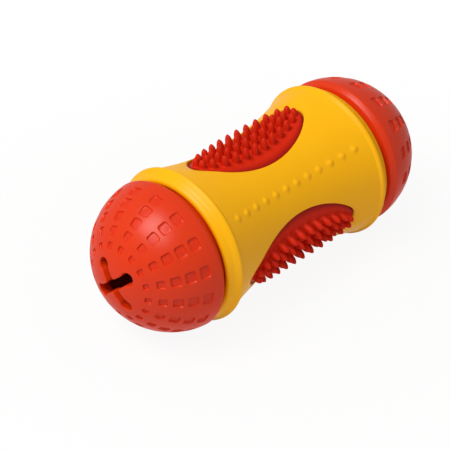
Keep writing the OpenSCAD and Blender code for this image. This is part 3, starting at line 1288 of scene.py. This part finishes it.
@dataclass
class Studio:
    """The floor, the light and the camera. Lengths are in metres.

    Attributes:
        azimuth: Camera's angle round the toy, in degrees.
        elevation: Camera's angle over the floor, in degrees.
        roll: Camera's roll, in degrees.
        distance: Distance from the camera to the toy's middle, along the view.
        scale: Pixels to a metre at the toy's middle.
        middle: Pixel of the toy's middle.
        frame_px: Width and height of the picture in pixels.
        sensor: Width of the camera's sensor, in millimetres.
        fill: Colour of the even light from all round.
        backdrop: Colour of the background.
        floor_z: Height of the floor.
        floor_r: Radius of the floor.
        floor_sides: Number of the floor's sides.
        floor_white: Colour of the floor where it takes a shadow.
        floor_rough: Roughness of the floor.
        floor_shine: Strength of the floor's reflections.
        fade_reach: Distances from the middle at which the floor's fade starts and ends.
        fade_share: Share of plain white in the floor at those distances.
    """

    azimuth: float = -45.015
    elevation: float = 34.984
    roll: float = -0.976
    distance: float = 1.07323
    scale: float = 2389.87
    middle: tuple[float, float] = (255.05, 201.26)
    frame_px: float = 450.0
    sensor: float = 36.0
    fill: Colour = (0.34, 0.285, 0.23)
    backdrop: Colour = (1.0, 1.0, 1.0)
    floor_z: float = -0.0344
    floor_r: float = 1.2
    floor_sides: int = 96
    floor_white: Colour = (0.82, 0.82, 0.82)
    floor_rough: float = 0.9
    floor_shine: float = 0.1
    fade_reach: tuple[float, float] = (0.06, 0.2)
    fade_share: tuple[float, float] = (0.92, 1.0)

    def build(self) -> None:
        """Build the floor, the light and the camera."""
        self._floor()
        self._world()
        for lamp in (KEY_LIGHT, FRONT_LIGHT):
            lamp.hang()
        self._camera()
        bpy.context.scene.view_settings.view_transform = "Standard"
        LOG.info("studio: floor, world, lamps and camera")

    def _camera(self) -> None:
        """Put the camera at the photograph's viewing angle."""
        turn, rise, roll = (math.radians(a) for a in (self.azimuth, self.elevation, self.roll))
        back = Vector((math.sin(turn) * math.cos(rise), -math.cos(turn) * math.cos(rise),
                       math.sin(rise)))
        level = Vector((math.cos(turn), math.sin(turn), 0))
        upright = back.cross(level)
        right = level * math.cos(roll) + upright * math.sin(roll)
        up = upright * math.cos(roll) - level * math.sin(roll)
        half = self.frame_px / 2
        aside = right * ((self.middle[0] - half) / self.scale)
        above = up * ((half - self.middle[1]) / self.scale)
        data = bpy.data.cameras.new("photo_camera")
        data.sensor_width = self.sensor
        data.lens = self.sensor * self.scale * self.distance / self.frame_px
        camera = bpy.data.objects.new("photo_camera", data)
        pose = Matrix((right, up, back)).transposed().to_4x4()
        pose.translation = back * self.distance - aside - above
        camera.matrix_world = pose
        bpy.context.scene.collection.objects.link(camera)
        bpy.context.scene.camera = camera

    @staticmethod
    def _seen_directly(tree: bpy.types.NodeTree) -> bpy.types.NodeSocket:
        """Tell what the camera, a reflection or glass shows from what only gives light.

        Args:
            tree: The nodes that get the test.

        Returns:
            The socket, which is 1 for what is seen directly.
        """
        path = tree.nodes.new("ShaderNodeLightPath")
        seen = path.outputs["Is Camera Ray"]
        for name in ("Is Glossy Ray", "Is Transmission Ray"):
            either = tree.nodes.new("ShaderNodeMath")
            either.operation = "MAXIMUM"
            tree.links.new(seen, either.inputs[0])
            tree.links.new(path.outputs[name], either.inputs[1])
            seen = either.outputs["Value"]
        return seen

    def _world(self) -> None:
        """Light the toy evenly and a little warmly from all round, against white."""
        world = bpy.data.worlds.new("studio_world")
        world.use_nodes = True
        tree = world.node_tree
        backdrop = tree.nodes["Background"]
        level = tree.nodes.new("ShaderNodeMix")
        level.data_type = "RGBA"
        level.inputs["A"].default_value = (*self.fill, 1.0)
        level.inputs["B"].default_value = (*self.backdrop, 1.0)
        tree.links.new(self._seen_directly(tree), level.inputs["Factor"])
        tree.links.new(level.outputs["Result"], backdrop.inputs["Color"])
        bpy.context.scene.world = world

    def _floor(self) -> None:
        """Lay a white floor that keeps the toy's shadow and fades into the backdrop."""
        shell = bmesh.new()
        bmesh.ops.create_circle(shell, cap_ends=True, segments=self.floor_sides,
                                radius=self.floor_r,
                                matrix=Matrix.Translation((0, 0, self.floor_z)))
        mesh = bpy.data.meshes.new("studio_floor")
        shell.to_mesh(mesh)
        shell.free()
        floor = bpy.data.objects.new("studio_floor", mesh)
        bpy.context.scene.collection.objects.link(floor)
        floor.data.materials.append(self._floor_material())

    def _floor_material(self) -> bpy.types.Material:
        """Build the floor's material, white with a soft shadow near the toy.

        Returns:
            The material.
        """
        made = bpy.data.materials.new("studio_white")
        made.use_nodes = True
        tree = made.node_tree
        nodes, links = tree.nodes, tree.links
        matt = nodes["Principled BSDF"]
        matt.inputs["Base Color"].default_value = (*self.floor_white, 1.0)
        matt.inputs["Roughness"].default_value = self.floor_rough
        matt.inputs["Specular IOR Level"].default_value = self.floor_shine
        white = nodes.new("ShaderNodeEmission")
        spot = nodes.new("ShaderNodeTexCoord")
        away = nodes.new("ShaderNodeVectorMath")
        away.operation = "LENGTH"
        fade = nodes.new("ShaderNodeMapRange")
        fade.interpolation_type = "SMOOTHSTEP"
        for name, value in zip(("From Min", "From Max", "To Min", "To Max"),
                               self.fade_reach + self.fade_share):
            fade.inputs[name].default_value = value
        share = nodes.new("ShaderNodeMath")
        share.operation = "MULTIPLY"
        mix = nodes.new("ShaderNodeMixShader")
        links.new(spot.outputs["Object"], away.inputs[0])
        links.new(away.outputs["Value"], fade.inputs["Value"])
        links.new(fade.outputs["Result"], share.inputs[0])
        links.new(self._seen_directly(tree), share.inputs[1])
        links.new(share.outputs["Value"], mix.inputs["Fac"])
        links.new(matt.outputs["BSDF"], mix.inputs[1])
        links.new(white.outputs["Emission"], mix.inputs[2])
        links.new(mix.outputs["Shader"], nodes["Material Output"].inputs["Surface"])
        return made


def main() -> None:
    """Build the toy and its studio, piece by piece."""
    logging.basicConfig(level=logging.INFO, format="%(name)s: %(message)s")
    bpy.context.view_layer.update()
    Studio().build()
    BarrelSleeve().build()
    for index in range(1, PAD_COUNT + 1):
        SpikedPad(index).build()
    for end in End:
        PittedDome(end).build()
    TreatTube().dress()


if __name__ == "__main__":
    main()
